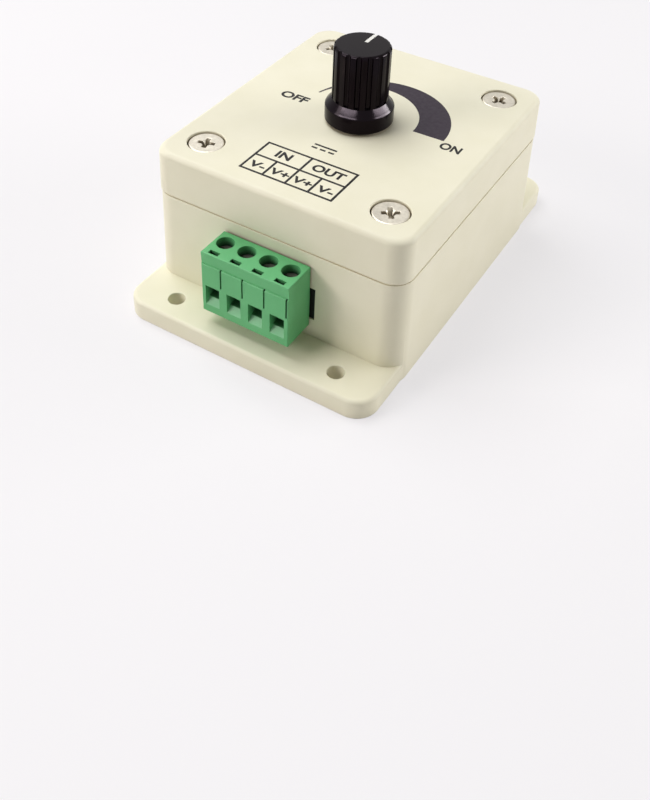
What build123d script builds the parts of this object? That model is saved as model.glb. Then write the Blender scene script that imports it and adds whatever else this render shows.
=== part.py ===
from build123d import *
import math
import os

# LED strip dimmer: a two-part moulded case, a rotary control on the cover and a pluggable terminal
# in the front wall. Millimetres. The origin is the middle of the underside, +Z is up and the terminal
# faces -Y. Sizes of the drafted case are those at height zero.

# Case
case_width = 58.7
body_length = 66.9
case_height = 35.0
parting_height = 24.9
wall = 2.0
floor_thickness = 2.5
roof_thickness = 2.0
wall_draft = 0.8
body_corner_radius = 4.8
least_inner_radius = 1.0
cover_edge_radius = 1.2
parting_groove_height = 0.5
parting_groove_depth = 0.4
tongue_height = 1.5
tongue_clearance = 0.15

# Mounting flanges
flange_reach = 11.15
flange_thickness = 4.5
flange_corner_radius = 5.1
flange_edge_radius = 0.8
flange_foot_radius = 0.3
flange_side_step = 0.2
flange_hole_diameter = 3.6
flange_hole_side_inset = 10.05
flange_hole_wall_distance = 5.8

# Cover screws and the columns that take them
cover_screw_side_inset = 8.2
cover_screw_end_inset = 8.65
screw_head_diameter = 7.4
screw_head_height = 2.2
screw_head_sink = 0.3
screw_head_dome = 0.7
screw_recess_clearance = 0.3
screw_core_diameter = 3.1
screw_hole_clearance = 0.55
screw_pilot_clearance = 0.05
screw_engagement = 10.0
screw_tip_length = 1.2
pilot_spare_depth = 1.5
cross_recess_length = 4.2
cross_recess_width = 1.0
cross_recess_depth = 1.2
cover_column_diameter = 12.1
base_boss_diameter = 9.0
boss_rib_thickness = 1.6
boss_rib_drop = 2.0

# Circuit board
board_thickness = 1.6
standoff_height = 4.3
standoff_diameter = 5.5
standoff_side_inset = 3.25
standoff_end_inset = 4.0
board_side_clearance = 0.6
board_end_clearance = 0.6
board_screw_head_diameter = 4.4
board_screw_head_height = 1.6
board_screw_core_diameter = 1.9
board_screw_engagement = 2.8
board_screw_clearance = 0.05
board_screw_hole_clearance = 0.3
lead_tail = 1.2
lead_hole_clearance = 0.15

# Terminal block
pole_count = 4
pole_pitch = 5.08
terminal_offset = -0.6
plug_depth = 7.9
plug_height = 14.9
plug_drop = 2.1
plug_wall_gap = 0.17
plug_brow_height = 2.9
plug_brow_step = 0.3
plug_brow_setback = 0.1
nose_side_step = 0.5
nose_height = 6.3
nose_engagement = 8.9
nose_clearance = 0.25
nose_end_clearance = 0.4
header_depth = 12.0
header_side_wall = 0.85
header_floor = 0.95
header_roof = 0.85
header_wall_gap = 0.25
cutout_side_margin = 1.47
cutout_top_margin = 0.9
cutout_bottom_margin = 0.6
entry_width = 3.3
entry_rise = 3.2
entry_height = 3.55
entry_lip_drop = 1.25
entry_lip_depth = 1.2
clamp_row_setback = 4.85
screw_well_diameter = 3.7
screw_well_clearance = 0.15
clamp_screw_diameter = 2.9
clamp_screw_head_height = 1.4
clamp_screw_slot_width = 0.6
clamp_screw_slot_depth = 0.7
clamp_screw_seat = 0.8
clamp_running_clearance = 0.05
clamp_seat_clearance = 0.15
cage_width = 3.9
cage_length = 3.3
cage_side_wall = 0.45
cage_floor = 0.6
cage_roof = 1.1
cage_drop = 0.2
cage_travel = 2.0
cage_clearance = 0.15
cage_end_clearance = 0.2
contact_width = 2.4
contact_bar_thickness = 0.6
contact_leaf_thickness = 0.4
contact_leaf_clearance = 0.08
contact_bar_reach = 1.4
contact_end_setback = 1.0
contact_side_clearance = 0.15
pin_size = 1.0
pin_setback = 2.2
pin_tail_setback = 1.4
pin_tail = 1.5
pin_hole_clearance = 0.1
test_slot_width = 2.3
test_slot_length = 1.05
test_slot_setback = 0.45
test_slot_depth = 1.5
marker_slit_width = 0.35
marker_slit_offset = 2.1
marker_slit_low = 7.4
marker_slit_height = 4.75
marker_slit_depth = 0.8

# Potentiometer, hung under the cover
pot_diameter = 16.8
pot_plate_thickness = 1.2
pot_wafer_thickness = 1.3
pot_can_height = 6.0
pot_can_wall = 0.5
pot_shaft_diameter = 6.0
pot_shaft_length = 15.0
pot_shaft_flat_depth = 1.5
pot_shaft_flat_length = 8.0
pot_running_clearance = 0.05
pot_bushing_diameter = 7.0
pot_bushing_length = 6.0
pot_panel_clearance = 0.1
pot_nut_flats = 10.0
pot_nut_thickness = 2.0
pot_nut_clearance = 0.05
pot_washer_diameter = 11.5
pot_washer_thickness = 0.5
pot_key_width = 2.4
pot_key_length = 1.2
pot_key_height = 1.2
pot_key_radius = 6.9
pot_key_clearance = 0.15
pot_rotor_thickness = 2.6
pot_rotor_side_gap = 0.6
pot_rotor_top_gap = 0.5
pot_wiper_thickness = 0.35
pot_wiper_width = 2.8
pot_wiper_inset = 0.8
pot_wiper_angle = 70.0
pot_shaft_foot_gap = 0.5
pot_tongue_width = 15.0
pot_tongue_reach = 2.0
pot_lug_pitch = 5.0
pot_lug_width = 2.0
pot_lug_thickness = 0.5
pot_lug_reach = 3.2
pot_lug_can_gap = 0.5
pot_lead_diameter = 1.2
pot_lead_edge_inset = 1.3
pot_lead_bend_share = 0.8

# Knob
knob_skirt_diameter = 14.5
knob_skirt_height = 3.6
knob_bevel_height = 1.5
knob_barrel_diameter = 11.8
knob_height = 17.0
knob_cover_gap = 0.5
knob_top_radius = 0.7
knob_skirt_radius = 0.25
knob_flute_count = 16
knob_flute_radius = 0.6
knob_flute_depth = 0.5
knob_nut_clearance = 0.45
knob_bushing_clearance = 0.5
knob_height_clearance = 0.3
knob_bore_clearance = 0.03
knob_pointer_width = 0.9
knob_pointer_depth = 0.35
knob_pointer_start = 1.2

# Parts on the board
chip_width = 6.4
chip_length = 9.4
chip_height = 3.3
chip_lift = 0.7
chip_row_spacing = 7.62
chip_leg_pitch = 2.54
chip_leg_count = 4
chip_leg_width = 0.5
chip_leg_thickness = 0.3
chip_offset = -6.0
chip_header_gap = 1.2
supply_cap_diameter = 8.0
supply_cap_height = 12.0
supply_cap_crimp_height = 1.6
supply_cap_crimp_depth = 0.4
supply_cap_edge_radius = 0.5
supply_cap_offset = 2.6
supply_cap_header_gap = 2.4
timing_cap_length = 7.2
timing_cap_width = 2.5
timing_cap_height = 6.5
timing_cap_edge_radius = 0.4
timing_cap_side_inset = 3.45
timing_cap_header_gap = 11.0
diode_diameter = 2.7
diode_length = 5.2
diode_pitch = 3.8
diode_span = 10.16
resistor_diameter = 2.4
resistor_length = 6.3
resistor_span = 10.16
resistor_places = (-9.5, 8.2, 11.6)
resistor_rear_gap = 8.0
axial_lead_diameter = 0.6
axial_edge_radius = 0.4
transistor_width = 10.2
transistor_body_length = 9.2
transistor_tab_length = 15.6
transistor_tab_thickness = 1.3
transistor_height = 4.5
transistor_tab_hole = 3.7
transistor_leg_pitch = 2.54
transistor_leg_width = 0.8
transistor_leg_thickness = 0.5
transistor_leg_reach = 2.4
transistor_leg_rise = 2.5
transistor_rear_gap = 0.5

# Worked out from the sizes above
standing = (Align.CENTER, Align.CENTER, Align.MIN)
half_width = case_width / 2
half_length = body_length / 2
base_length = body_length + 2 * flange_reach
flange_width = case_width - 2 * flange_side_step
inner_width = case_width - 2 * wall
inner_length = body_length - 2 * wall
inner_radius = max(body_corner_radius - wall, least_inner_radius)
tongue_thickness = (wall - parting_groove_depth - tongue_clearance) / 2
roof_under = case_height - roof_thickness

cover_screw_x = half_width - cover_screw_side_inset
cover_screw_y = half_length - cover_screw_end_inset
cover_screw_places = [(x, y) for x in (-cover_screw_x, cover_screw_x)
                      for y in (-cover_screw_y, cover_screw_y)]
screw_head_under = case_height - screw_head_sink - screw_head_height
screw_tip = parting_height - screw_engagement

board_bottom = floor_thickness + standoff_height
board_top = board_bottom + board_thickness


def lean(height):
    """How far a drafted wall has leaned in at a height."""
    return height * math.tan(math.radians(wall_draft))


board_half_width = cover_screw_x - base_boss_diameter / 2 - board_side_clearance
board_half_length = inner_length / 2 - lean(board_top) - board_end_clearance
standoff_x = board_half_width - standoff_side_inset
standoff_y = board_half_length - standoff_end_inset

nose_low = board_top + header_floor + nose_clearance
nose_high = nose_low + nose_height
header_high = nose_high + nose_clearance + header_roof
header_front = -(inner_length / 2 - lean(header_high) - header_wall_gap)
header_back = header_front + header_depth
plug_low = nose_low - plug_drop
plug_high = plug_low + plug_height
plug_width = pole_count * pole_pitch
plug_back = -(half_length - lean(plug_low) + plug_wall_gap)
plug_front = plug_back - plug_depth
nose_width = plug_width - 2 * nose_side_step
nose_end = header_front + nose_engagement
header_width = nose_width + 2 * (nose_clearance + header_side_wall)
header_cavity_end = nose_end + nose_end_clearance
pole_places = [terminal_offset + (pole - (pole_count - 1) / 2) * pole_pitch for pole in range(pole_count)]
clamp_row = plug_front + clamp_row_setback
entry_low = plug_low + entry_rise
entry_top = entry_low + entry_height
bar_top = entry_top + contact_bar_thickness
cage_low = entry_low - cage_drop - cage_floor
cage_high = bar_top + cage_drop + cage_roof
pocket_low = cage_low - cage_end_clearance
pocket_high = cage_high + cage_travel + cage_end_clearance
pocket_half_length = cage_length / 2 + cage_clearance
clamp_seat_height = pocket_high + clamp_screw_seat
clamp_head_high = clamp_seat_height + clamp_screw_head_height
pin_height = (entry_low + entry_top) / 2
leaf_offset = pin_size / 2 + contact_leaf_clearance
contact_low = pin_height - leaf_offset - contact_leaf_thickness
pin_tail_place = header_back - pin_tail_setback

pot_radius = pot_diameter / 2
plate_under = roof_under - pot_plate_thickness
wafer_under = plate_under - pot_wafer_thickness
can_bottom = wafer_under - pot_can_height
rotor_top = wafer_under - pot_rotor_top_gap
rotor_radius = pot_radius - pot_can_wall - pot_rotor_side_gap
bushing_top = roof_under + pot_bushing_length
shaft_top = roof_under + pot_shaft_length
shaft_radius = pot_shaft_diameter / 2
nut_low = case_height + pot_washer_thickness
nut_top = nut_low + pot_nut_thickness
lug_places = [(lug - 1) * pot_lug_pitch for lug in range(3)]
lug_tip = -(pot_radius + pot_lug_reach)
lead_drop = -(board_half_width - pot_lead_edge_inset)
lead_height = wafer_under - pot_lug_thickness / 2

knob_low = case_height + knob_cover_gap
knob_top = knob_low + knob_height

chip_place = header_back + chip_header_gap + chip_length / 2
chip_back = chip_place + chip_length / 2
supply_cap_place = header_back + supply_cap_header_gap + supply_cap_diameter / 2
timing_cap_place = header_back + timing_cap_header_gap + timing_cap_width / 2
timing_cap_x = board_half_width - timing_cap_side_inset - timing_cap_length / 2
transistor_back = board_half_length - transistor_rear_gap
transistor_front = transistor_back - transistor_tab_length
transistor_leg_row = transistor_front - transistor_leg_reach
diode_row = (chip_back + transistor_leg_row) / 2
resistor_place = board_half_length - resistor_rear_gap - resistor_span / 2


def rod(diameter, low, high, x=0.0, y=0.0):
    """A standing cylinder between two heights."""
    return Pos(x, y, low) * Cylinder(diameter / 2, high - low, align=standing)


def block(x_span, y_span, z_span):
    """A block between pairs of limits."""
    spans = (x_span, y_span, z_span)
    middle = [(low + high) / 2 for low, high in spans]
    return Pos(*middle) * Box(*[high - low for low, high in spans])


def around(middle, width):
    """The pair of limits of a width about its middle."""
    return (middle - width / 2, middle + width / 2)


def drafted_block(width, length, radius, low, high):
    """A rounded block with drafted sides between two heights."""
    inset = lean(low)
    outline = RectangleRounded(width - 2 * inset, length - 2 * inset, radius - inset)
    return extrude(Pos(0, 0, low) * outline, high - low, taper=wall_draft)


def drafted_ring(outer_offset, inner_offset, low, high):
    """A band that follows the inside of the walls, between two offsets outwards from it."""
    bands = []
    for offset in (outer_offset, inner_offset):
        width, length = inner_width + 2 * offset, inner_length + 2 * offset
        bands.append(drafted_block(width, length, inner_radius + offset, low, high))
    return bands[0] - bands[1]


def side_profile(points, x_span):
    """A solid with a (y, z) outline, between two limits along X."""
    face = make_face(Polyline(*points, close=True))
    return extrude(Plane.YZ.offset(x_span[0]) * face, x_span[1] - x_span[0])


def make_base_shell():
    shell = drafted_block(case_width, body_length, body_corner_radius, 0, parting_height)
    flange = extrude(RectangleRounded(flange_width, base_length, flange_corner_radius), flange_thickness)
    flange = fillet(flange.edges().group_by(Axis.Z)[-1], flange_edge_radius)
    flange = fillet(flange.edges().group_by(Axis.Z)[0], flange_foot_radius)
    shell += flange
    shell -= drafted_block(inner_width, inner_length, inner_radius, floor_thickness, parting_height)
    shell += drafted_ring(tongue_thickness, 0, parting_height, parting_height + tongue_height)
    for x, y in cover_screw_places:
        rib_x = math.copysign(half_width - wall / 2 - lean(parting_height), x)
        rib_y = math.copysign(half_length - wall / 2 - lean(parting_height), y)
        rib_heights = (floor_thickness / 2, parting_height - boss_rib_drop)
        shell += rod(base_boss_diameter, floor_thickness / 2, parting_height, x, y)
        shell += block(sorted((x, rib_x)), around(y, boss_rib_thickness), rib_heights)
        shell += block(around(x, boss_rib_thickness), sorted((y, rib_y)), rib_heights)
    for x, y in cover_screw_places:
        pilot_bottom = screw_tip - pilot_spare_depth
        shell -= rod(screw_core_diameter + 2 * screw_pilot_clearance, pilot_bottom, parting_height, x, y)
    for x in (-standoff_x, standoff_x):
        for y in (-standoff_y, standoff_y):
            shell += rod(standoff_diameter, floor_thickness / 2, board_bottom, x, y)
        pilot = board_screw_core_diameter + 2 * board_screw_clearance
        shell -= rod(pilot, board_bottom - board_screw_engagement, board_bottom, x, standoff_y)
    hole_x = half_width - flange_hole_side_inset
    hole_y = half_length + flange_hole_wall_distance
    for x in (-hole_x, hole_x):
        for y in (-hole_y, hole_y):
            shell -= rod(flange_hole_diameter, 0, flange_thickness, x, y)
    cutout_width = nose_width + 2 * cutout_side_margin
    cutout_heights = (nose_low - cutout_bottom_margin, nose_high + cutout_top_margin)
    front_wall = (-half_length - wall, -half_length + 2 * wall)
    return shell - block(around(terminal_offset, cutout_width), front_wall, cutout_heights)


def make_cover_shell():
    shell = drafted_block(case_width, body_length, body_corner_radius, parting_height, case_height)
    shell = fillet(shell.edges().group_by(Axis.Z)[-1], cover_edge_radius)
    shell -= drafted_block(inner_width, inner_length, inner_radius, parting_height, roof_under)
    for x, y in cover_screw_places:
        shell += rod(cover_column_diameter, parting_height, case_height - roof_thickness / 2, x, y)
    rebate_top = parting_height + tongue_height + tongue_clearance
    rebate_depth = tongue_thickness + tongue_clearance
    shell -= drafted_ring(rebate_depth, -tongue_clearance, parting_height, rebate_top)
    groove_top = parting_height + parting_groove_height
    groove_depths = (wall + parting_groove_depth, wall - parting_groove_depth)
    shell -= drafted_ring(*groove_depths, parting_height, groove_top)
    for x, y in cover_screw_places:
        shell -= rod(screw_core_diameter + 2 * screw_hole_clearance, parting_height, case_height, x, y)
        shell -= rod(screw_head_diameter + 2 * screw_recess_clearance, screw_head_under, case_height, x, y)
    shell -= rod(pot_bushing_diameter + 2 * pot_panel_clearance, roof_under, case_height)
    key_gap = 2 * pot_key_clearance
    key_pocket = (roof_under, roof_under + pot_key_height + pot_key_clearance)
    key_lengths = around(pot_key_radius, pot_key_length + key_gap)
    return shell - block(key_lengths, around(0, pot_key_width + key_gap), key_pocket)


def make_cover_screw():
    screw = rod(screw_head_diameter, screw_head_under, screw_head_under + screw_head_height)
    screw = fillet(screw.edges().group_by(Axis.Z)[-1], screw_head_dome)
    shank = rod(screw_core_diameter, screw_tip, screw_head_under)
    screw += chamfer(shank.edges().group_by(Axis.Z)[0], screw_tip_length, screw_core_diameter / 4)
    head_top = screw_head_under + screw_head_height
    depths = (head_top - cross_recess_depth, head_top)
    screw -= block(around(0, cross_recess_length), around(0, cross_recess_width), depths)
    return screw - block(around(0, cross_recess_width), around(0, cross_recess_length), depths)


def make_board_screw():
    head_top = board_top + board_screw_head_height
    head = rod(board_screw_head_diameter, board_top, head_top)
    head = fillet(head.edges().group_by(Axis.Z)[-1], board_screw_head_height / 2)
    return head + rod(board_screw_core_diameter, board_bottom - board_screw_engagement, board_top)


def chip_leg_places():
    """Where each leg of the timer chip enters the board, with the side it is on."""
    places = []
    for side in (-1, 1):
        for leg in range(chip_leg_count):
            y = chip_place + (leg - (chip_leg_count - 1) / 2) * chip_leg_pitch
            places.append((chip_offset + side * chip_row_spacing / 2, y, side))
    return places


def axial_places():
    """Middle and direction of each diode and resistor."""
    diodes = [Pos(0, diode_row + side * diode_pitch / 2) for side in (-1, 1)]
    resistors = [Pos(x, resistor_place) * Rot(0, 0, 90) for x in resistor_places]
    return diodes, resistors


def make_circuit_board():
    board = block((-board_half_width, board_half_width), (-board_half_length, board_half_length),
                  (board_bottom, board_top))
    screw_hole = board_screw_core_diameter + 2 * board_screw_hole_clearance
    holes = [(screw_hole, x, standoff_y) for x in (-standoff_x, standoff_x)]
    pin_hole = pin_size * math.sqrt(2) + 2 * pin_hole_clearance
    holes += [(pin_hole, x, pin_tail_place) for x in pole_places]
    lead_hole = axial_lead_diameter + 2 * lead_hole_clearance
    holes += [(lead_hole, x, y) for x, y, side in chip_leg_places()]
    leg_hole = math.hypot(transistor_leg_width, transistor_leg_thickness) + 2 * lead_hole_clearance
    holes += [(leg_hole, leg * transistor_leg_pitch, transistor_leg_row) for leg in (-1, 0, 1)]
    for places, span in zip(axial_places(), (diode_span, resistor_span)):
        for place in places:
            ends = [(place * Pos(side * span / 2)).position for side in (-1, 1)]
            holes += [(lead_hole, end.X, end.Y) for end in ends]
    for diameter, x, y in holes:
        board -= rod(diameter, board_bottom, board_top, x, y)
    return board


def make_terminal_header():
    body = block(around(terminal_offset, header_width), (header_front, header_back),
                 (board_top, header_high))
    cavity_width = nose_width + 2 * nose_clearance
    cavity_heights = (nose_low - nose_clearance, nose_high + nose_clearance)
    body -= block(around(terminal_offset, cavity_width), (header_front, header_cavity_end), cavity_heights)
    for x in pole_places:
        body -= make_header_pin(x)
    return body


def make_header_pin(x):
    """A square pin that runs back from the plug and turns down through the board."""
    tail_back = pin_tail_place + pin_size / 2
    top, under = pin_height + pin_size / 2, pin_height - pin_size / 2
    foot = board_bottom - pin_tail
    front = header_front + pin_setback
    points = [(front, top), (tail_back, top), (tail_back, foot), (tail_back - pin_size, foot),
              (tail_back - pin_size, under), (front, under)]
    return side_profile(points, around(x, pin_size))


def make_terminal_plug():
    """The plug's housing: a tall front with four clamps and a nose that enters the header."""
    brow_foot = plug_high - plug_brow_height
    tall = [(plug_front, plug_low), (plug_front, brow_foot), (plug_front + plug_brow_step, brow_foot),
            (plug_front + plug_brow_setback, plug_high), (plug_back, plug_high), (plug_back, plug_low)]
    body = side_profile(tall, around(terminal_offset, plug_width))
    nose = ((plug_back + plug_front) / 2, nose_end)
    body += block(around(terminal_offset, nose_width), nose, (nose_low, nose_high))
    for x in pole_places:
        for cut in plug_pole_cuts(x):
            body -= cut
    return body


def plug_pole_cuts(x):
    """What is taken out of the plug's housing at one pole."""
    pocket_front = clamp_row - pocket_half_length
    pocket_back = clamp_row + pocket_half_length
    lip_front = plug_front - entry_lip_depth
    funnel = [(lip_front, entry_top), (pocket_front, entry_top), (pocket_front, entry_low),
              (plug_front + entry_lip_depth, entry_low), (lip_front, entry_low - 2 * entry_lip_drop)]
    pocket_width = cage_width + 2 * cage_clearance
    channel_width = contact_width + 2 * contact_side_clearance
    test_slot = plug_front + plug_brow_setback + test_slot_setback
    slit_low = plug_low + marker_slit_low
    return [
        block(around(x, pocket_width), (pocket_front, pocket_back), (pocket_low, pocket_high)),
        block(around(x, channel_width), (clamp_row, nose_end), (contact_low, bar_top + cage_drop)),
        side_profile(funnel, around(x, entry_width)),
        rod(screw_well_diameter, clamp_seat_height, plug_high, x, clamp_row),
        rod(clamp_screw_diameter + 2 * clamp_seat_clearance, pocket_high, clamp_seat_height, x, clamp_row),
        block(around(x, test_slot_width), (test_slot, test_slot + test_slot_length),
              (plug_high - test_slot_depth, plug_high)),
        block(around(x + marker_slit_offset, marker_slit_width),
              (plug_front, plug_front + marker_slit_depth), (slit_low, slit_low + marker_slit_height)),
    ]


def make_plug_contact(x):
    """A folded strip: the bar that the wire is clamped against, and two leaves that grip the pin."""
    web_back = plug_back + contact_bar_thickness + contact_leaf_thickness
    web_front = web_back - contact_bar_thickness
    leaf_end = nose_end - contact_end_setback
    upper, lower = pin_height + leaf_offset, pin_height - leaf_offset
    points = [(clamp_row - contact_bar_reach, bar_top), (web_back, bar_top),
              (web_back, upper + contact_leaf_thickness), (leaf_end, upper + contact_leaf_thickness),
              (leaf_end, upper), (web_back, upper), (web_back, lower), (leaf_end, lower),
              (leaf_end, contact_low), (web_front, contact_low), (web_front, entry_top),
              (clamp_row - contact_bar_reach, entry_top)]
    return side_profile(points, around(x, contact_width))


def make_clamp_screw(x):
    head_diameter = screw_well_diameter - 2 * screw_well_clearance
    screw = rod(head_diameter, clamp_seat_height, clamp_head_high, x, clamp_row)
    tip = bar_top + clamp_running_clearance
    screw += rod(clamp_screw_diameter, tip, clamp_seat_height, x, clamp_row)
    slot_depths = (clamp_head_high - clamp_screw_slot_depth, clamp_head_high)
    slot_widths = around(clamp_row, clamp_screw_slot_width)
    return screw - block(around(x, head_diameter), slot_widths, slot_depths)


def make_clamp_cage(x):
    """A square ring round the contact bar, raised by the screw that is threaded through its roof."""
    lengths = around(clamp_row, cage_length)
    cage = block(around(x, cage_width), lengths, (cage_low, cage_high))
    opening_width = cage_width - 2 * cage_side_wall
    cage -= block(around(x, opening_width), lengths, (cage_low + cage_floor, cage_high - cage_roof))
    thread = clamp_screw_diameter + 2 * clamp_running_clearance
    return cage - rod(thread, cage_high - cage_roof, cage_high, x, clamp_row)


def make_pot_bushing():
    bushing = rod(pot_diameter, plate_under, roof_under)
    bushing += rod(pot_bushing_diameter, roof_under, bushing_top)
    key_heights = (plate_under, roof_under + pot_key_height)
    bushing += block(around(pot_key_radius, pot_key_length), around(0, pot_key_width), key_heights)
    return bushing - rod(pot_shaft_diameter + 2 * pot_running_clearance, plate_under, bushing_top)


def make_pot_wafer():
    wafer = rod(pot_diameter, wafer_under, plate_under)
    tongue_end = -(pot_radius + pot_tongue_reach)
    wafer += block((tongue_end, 0), around(0, pot_tongue_width), (wafer_under, plate_under))
    return wafer - rod(pot_shaft_diameter + 2 * pot_running_clearance, wafer_under, plate_under)


def make_pot_can():
    can = rod(pot_diameter, can_bottom, wafer_under)
    can = fillet(can.edges().group_by(Axis.Z)[0], pot_can_wall)
    return can - rod(pot_diameter - 2 * pot_can_wall, can_bottom + pot_can_wall, wafer_under)


def make_pot_shaft():
    shaft = rod(pot_shaft_diameter, can_bottom + pot_can_wall + pot_shaft_foot_gap, shaft_top)
    flat = (shaft_radius - pot_shaft_flat_depth, shaft_radius)
    flat_heights = (shaft_top - pot_shaft_flat_length, shaft_top)
    return shaft - block(around(0, pot_shaft_diameter), flat, flat_heights)


def make_pot_rotor():
    rotor = rod(2 * rotor_radius, rotor_top - pot_rotor_thickness, rotor_top)
    return rotor - rod(pot_shaft_diameter, rotor_top - pot_rotor_thickness, rotor_top)


def make_pot_wiper():
    outer = rotor_radius - pot_wiper_inset
    ring = rod(2 * outer, rotor_top, rotor_top + pot_wiper_thickness)
    ring -= rod(2 * (outer - pot_wiper_width), rotor_top, rotor_top + pot_wiper_thickness)
    half_angle = math.radians(pot_wiper_angle / 2)
    corner = 2 * outer * math.sin(half_angle), 2 * outer * math.cos(half_angle)
    sector = make_face(Polyline((0, 0), corner, (-corner[0], corner[1]), close=True))
    return ring & extrude(Pos(0, 0, rotor_top) * sector, pot_wiper_thickness)


def make_pot_lug(y):
    root = -(pot_radius + pot_lug_can_gap)
    heights = (wafer_under - pot_lug_thickness, wafer_under)
    return block((lug_tip, root), around(y, pot_lug_width), heights)


def make_pot_lead(y):
    """A lead from a lug's tip, out over the board's edge and down to it."""
    bend = pot_lead_bend_share * (lug_tip - lead_drop)
    route = FilletPolyline((lug_tip, y, lead_height), (lead_drop, y, lead_height),
                           (lead_drop, y, board_top), radius=bend)
    section = Plane(origin=route @ 0, z_dir=route % 0) * Circle(pot_lead_diameter / 2)
    return sweep(section, path=route)


def make_pot_nut():
    flats = extrude(Pos(0, 0, nut_low) * RegularPolygon(pot_nut_flats / 2, 6, major_radius=False),
                    pot_nut_thickness)
    return flats - rod(pot_bushing_diameter + 2 * pot_nut_clearance, nut_low, nut_top)


def make_pot_washer():
    ring = rod(pot_washer_diameter, case_height, nut_low)
    return ring - rod(pot_bushing_diameter + 2 * pot_panel_clearance, case_height, nut_low)


def make_dimmer_knob():
    skirt, barrel = knob_skirt_diameter / 2, knob_barrel_diameter / 2
    shoulder = knob_low + knob_skirt_height
    barrel_foot = shoulder + knob_bevel_height
    outline = Polyline((0, knob_low), (skirt, knob_low), (skirt, shoulder), (barrel, barrel_foot),
                       (barrel, knob_top), (0, knob_top), close=True)
    knob = revolve(Plane.XZ * make_face(outline), Axis.Z)
    knob = fillet(knob.edges().group_by(Axis.Z)[-1], knob_top_radius)
    knob = fillet(knob.edges().filter_by_position(Axis.Z, shoulder, shoulder), knob_skirt_radius)
    flute_circle = barrel + knob_flute_radius - knob_flute_depth
    for place in PolarLocations(flute_circle, knob_flute_count):
        knob -= place * rod(2 * knob_flute_radius, barrel_foot, knob_top)
    nut_round = pot_nut_flats / math.cos(math.radians(30))
    knob -= rod(nut_round + 2 * knob_nut_clearance, knob_low, nut_top + knob_height_clearance)
    bushing_bore = pot_bushing_diameter + 2 * knob_bushing_clearance
    knob -= rod(bushing_bore, knob_low, bushing_top + knob_height_clearance)
    bore_top = shaft_top + knob_height_clearance
    bore = rod(pot_shaft_diameter + 2 * knob_bore_clearance, knob_low, bore_top)
    flat = shaft_radius - pot_shaft_flat_depth + knob_bore_clearance
    flat_low = shaft_top - pot_shaft_flat_length + knob_height_clearance
    knob -= bore - block(around(0, 2 * pot_shaft_diameter), (flat, pot_shaft_diameter),
                         (flat_low, bore_top))
    pointer = (knob_pointer_start, knob_skirt_diameter)
    return knob - block(around(0, knob_pointer_width), pointer, (knob_top - knob_pointer_depth, knob_top))


def make_timer_chip():
    heights = (board_top + chip_lift, board_top + chip_lift + chip_height)
    return block(around(chip_offset, chip_width), around(chip_place, chip_length), heights)


def make_chip_leg(x, y, side):
    """A leg that leaves the chip's side at half height and turns down through the board."""
    middle = board_top + chip_lift + chip_height / 2
    body_side = chip_offset + side * chip_width / 2
    outer = x + side * chip_leg_thickness / 2
    width = around(y, chip_leg_width)
    shoulder = block(sorted((body_side, outer)), width, around(middle, chip_leg_thickness))
    return shoulder + block(around(x, chip_leg_thickness), width, (board_bottom - lead_tail, middle))


def make_supply_capacitor():
    radius = supply_cap_diameter / 2
    can = rod(supply_cap_diameter, board_top, board_top + supply_cap_height)
    can = fillet(can.edges().group_by(Axis.Z)[-1], supply_cap_edge_radius)
    crimp = Pos(0, 0, board_top + supply_cap_crimp_height) * Torus(radius + supply_cap_crimp_depth / 2,
                                                                   supply_cap_crimp_depth)
    return Pos(supply_cap_offset, supply_cap_place, 0) * (can - crimp)


def make_timing_capacitor():
    body = block(around(timing_cap_x, timing_cap_length), around(timing_cap_place, timing_cap_width),
                 (board_top, board_top + timing_cap_height))
    return fillet(body.edges().group_by(Axis.Z)[-1], timing_cap_edge_radius)


def make_axial_part(place, diameter, length, span):
    """A small round part that lies on the board, on two leads bent down through it."""
    axis = board_top + diameter / 2
    body = Pos(0, 0, axis) * Rot(0, 90, 0) * Cylinder(diameter / 2, length)
    body = fillet(body.edges().filter_by(GeomType.CIRCLE), axial_edge_radius)
    body += Pos(0, 0, axis) * Rot(0, 90, 0) * Cylinder(axial_lead_diameter / 2, span)
    for side in (-1, 1):
        body += rod(axial_lead_diameter, board_bottom - lead_tail, axis, side * span / 2)
        body += Pos(side * span / 2, 0, axis) * Sphere(axial_lead_diameter / 2)
    return place * body


def make_transistor_body():
    heights = (board_top + transistor_tab_thickness, board_top + transistor_height)
    lengths = (transistor_front, transistor_front + transistor_body_length)
    body = block(around(0, transistor_width), lengths, heights)
    front_edge = body.edges().filter_by(Axis.X).group_by(Axis.Y)[0].sort_by(Axis.Z)[-1]
    return chamfer(front_edge, transistor_tab_thickness / 2)


def make_transistor_tab():
    tab = block(around(0, transistor_width), (transistor_front, transistor_back),
                (board_top, board_top + transistor_tab_thickness))
    hole_place = transistor_back - (transistor_tab_length - transistor_body_length) / 2
    return tab - rod(transistor_tab_hole, board_top, board_top + transistor_tab_thickness, 0, hole_place)


def make_transistor_leg(leg):
    x = leg * transistor_leg_pitch
    top = board_top + transistor_leg_rise + transistor_leg_thickness / 2
    under = top - transistor_leg_thickness
    outer = transistor_leg_row - transistor_leg_thickness / 2
    inner = outer + transistor_leg_thickness
    foot = board_bottom - lead_tail
    points = [(transistor_front, top), (outer, top), (outer, foot), (inner, foot), (inner, under),
              (transistor_front, under)]
    return side_profile(points, around(x, transistor_leg_width))


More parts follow.
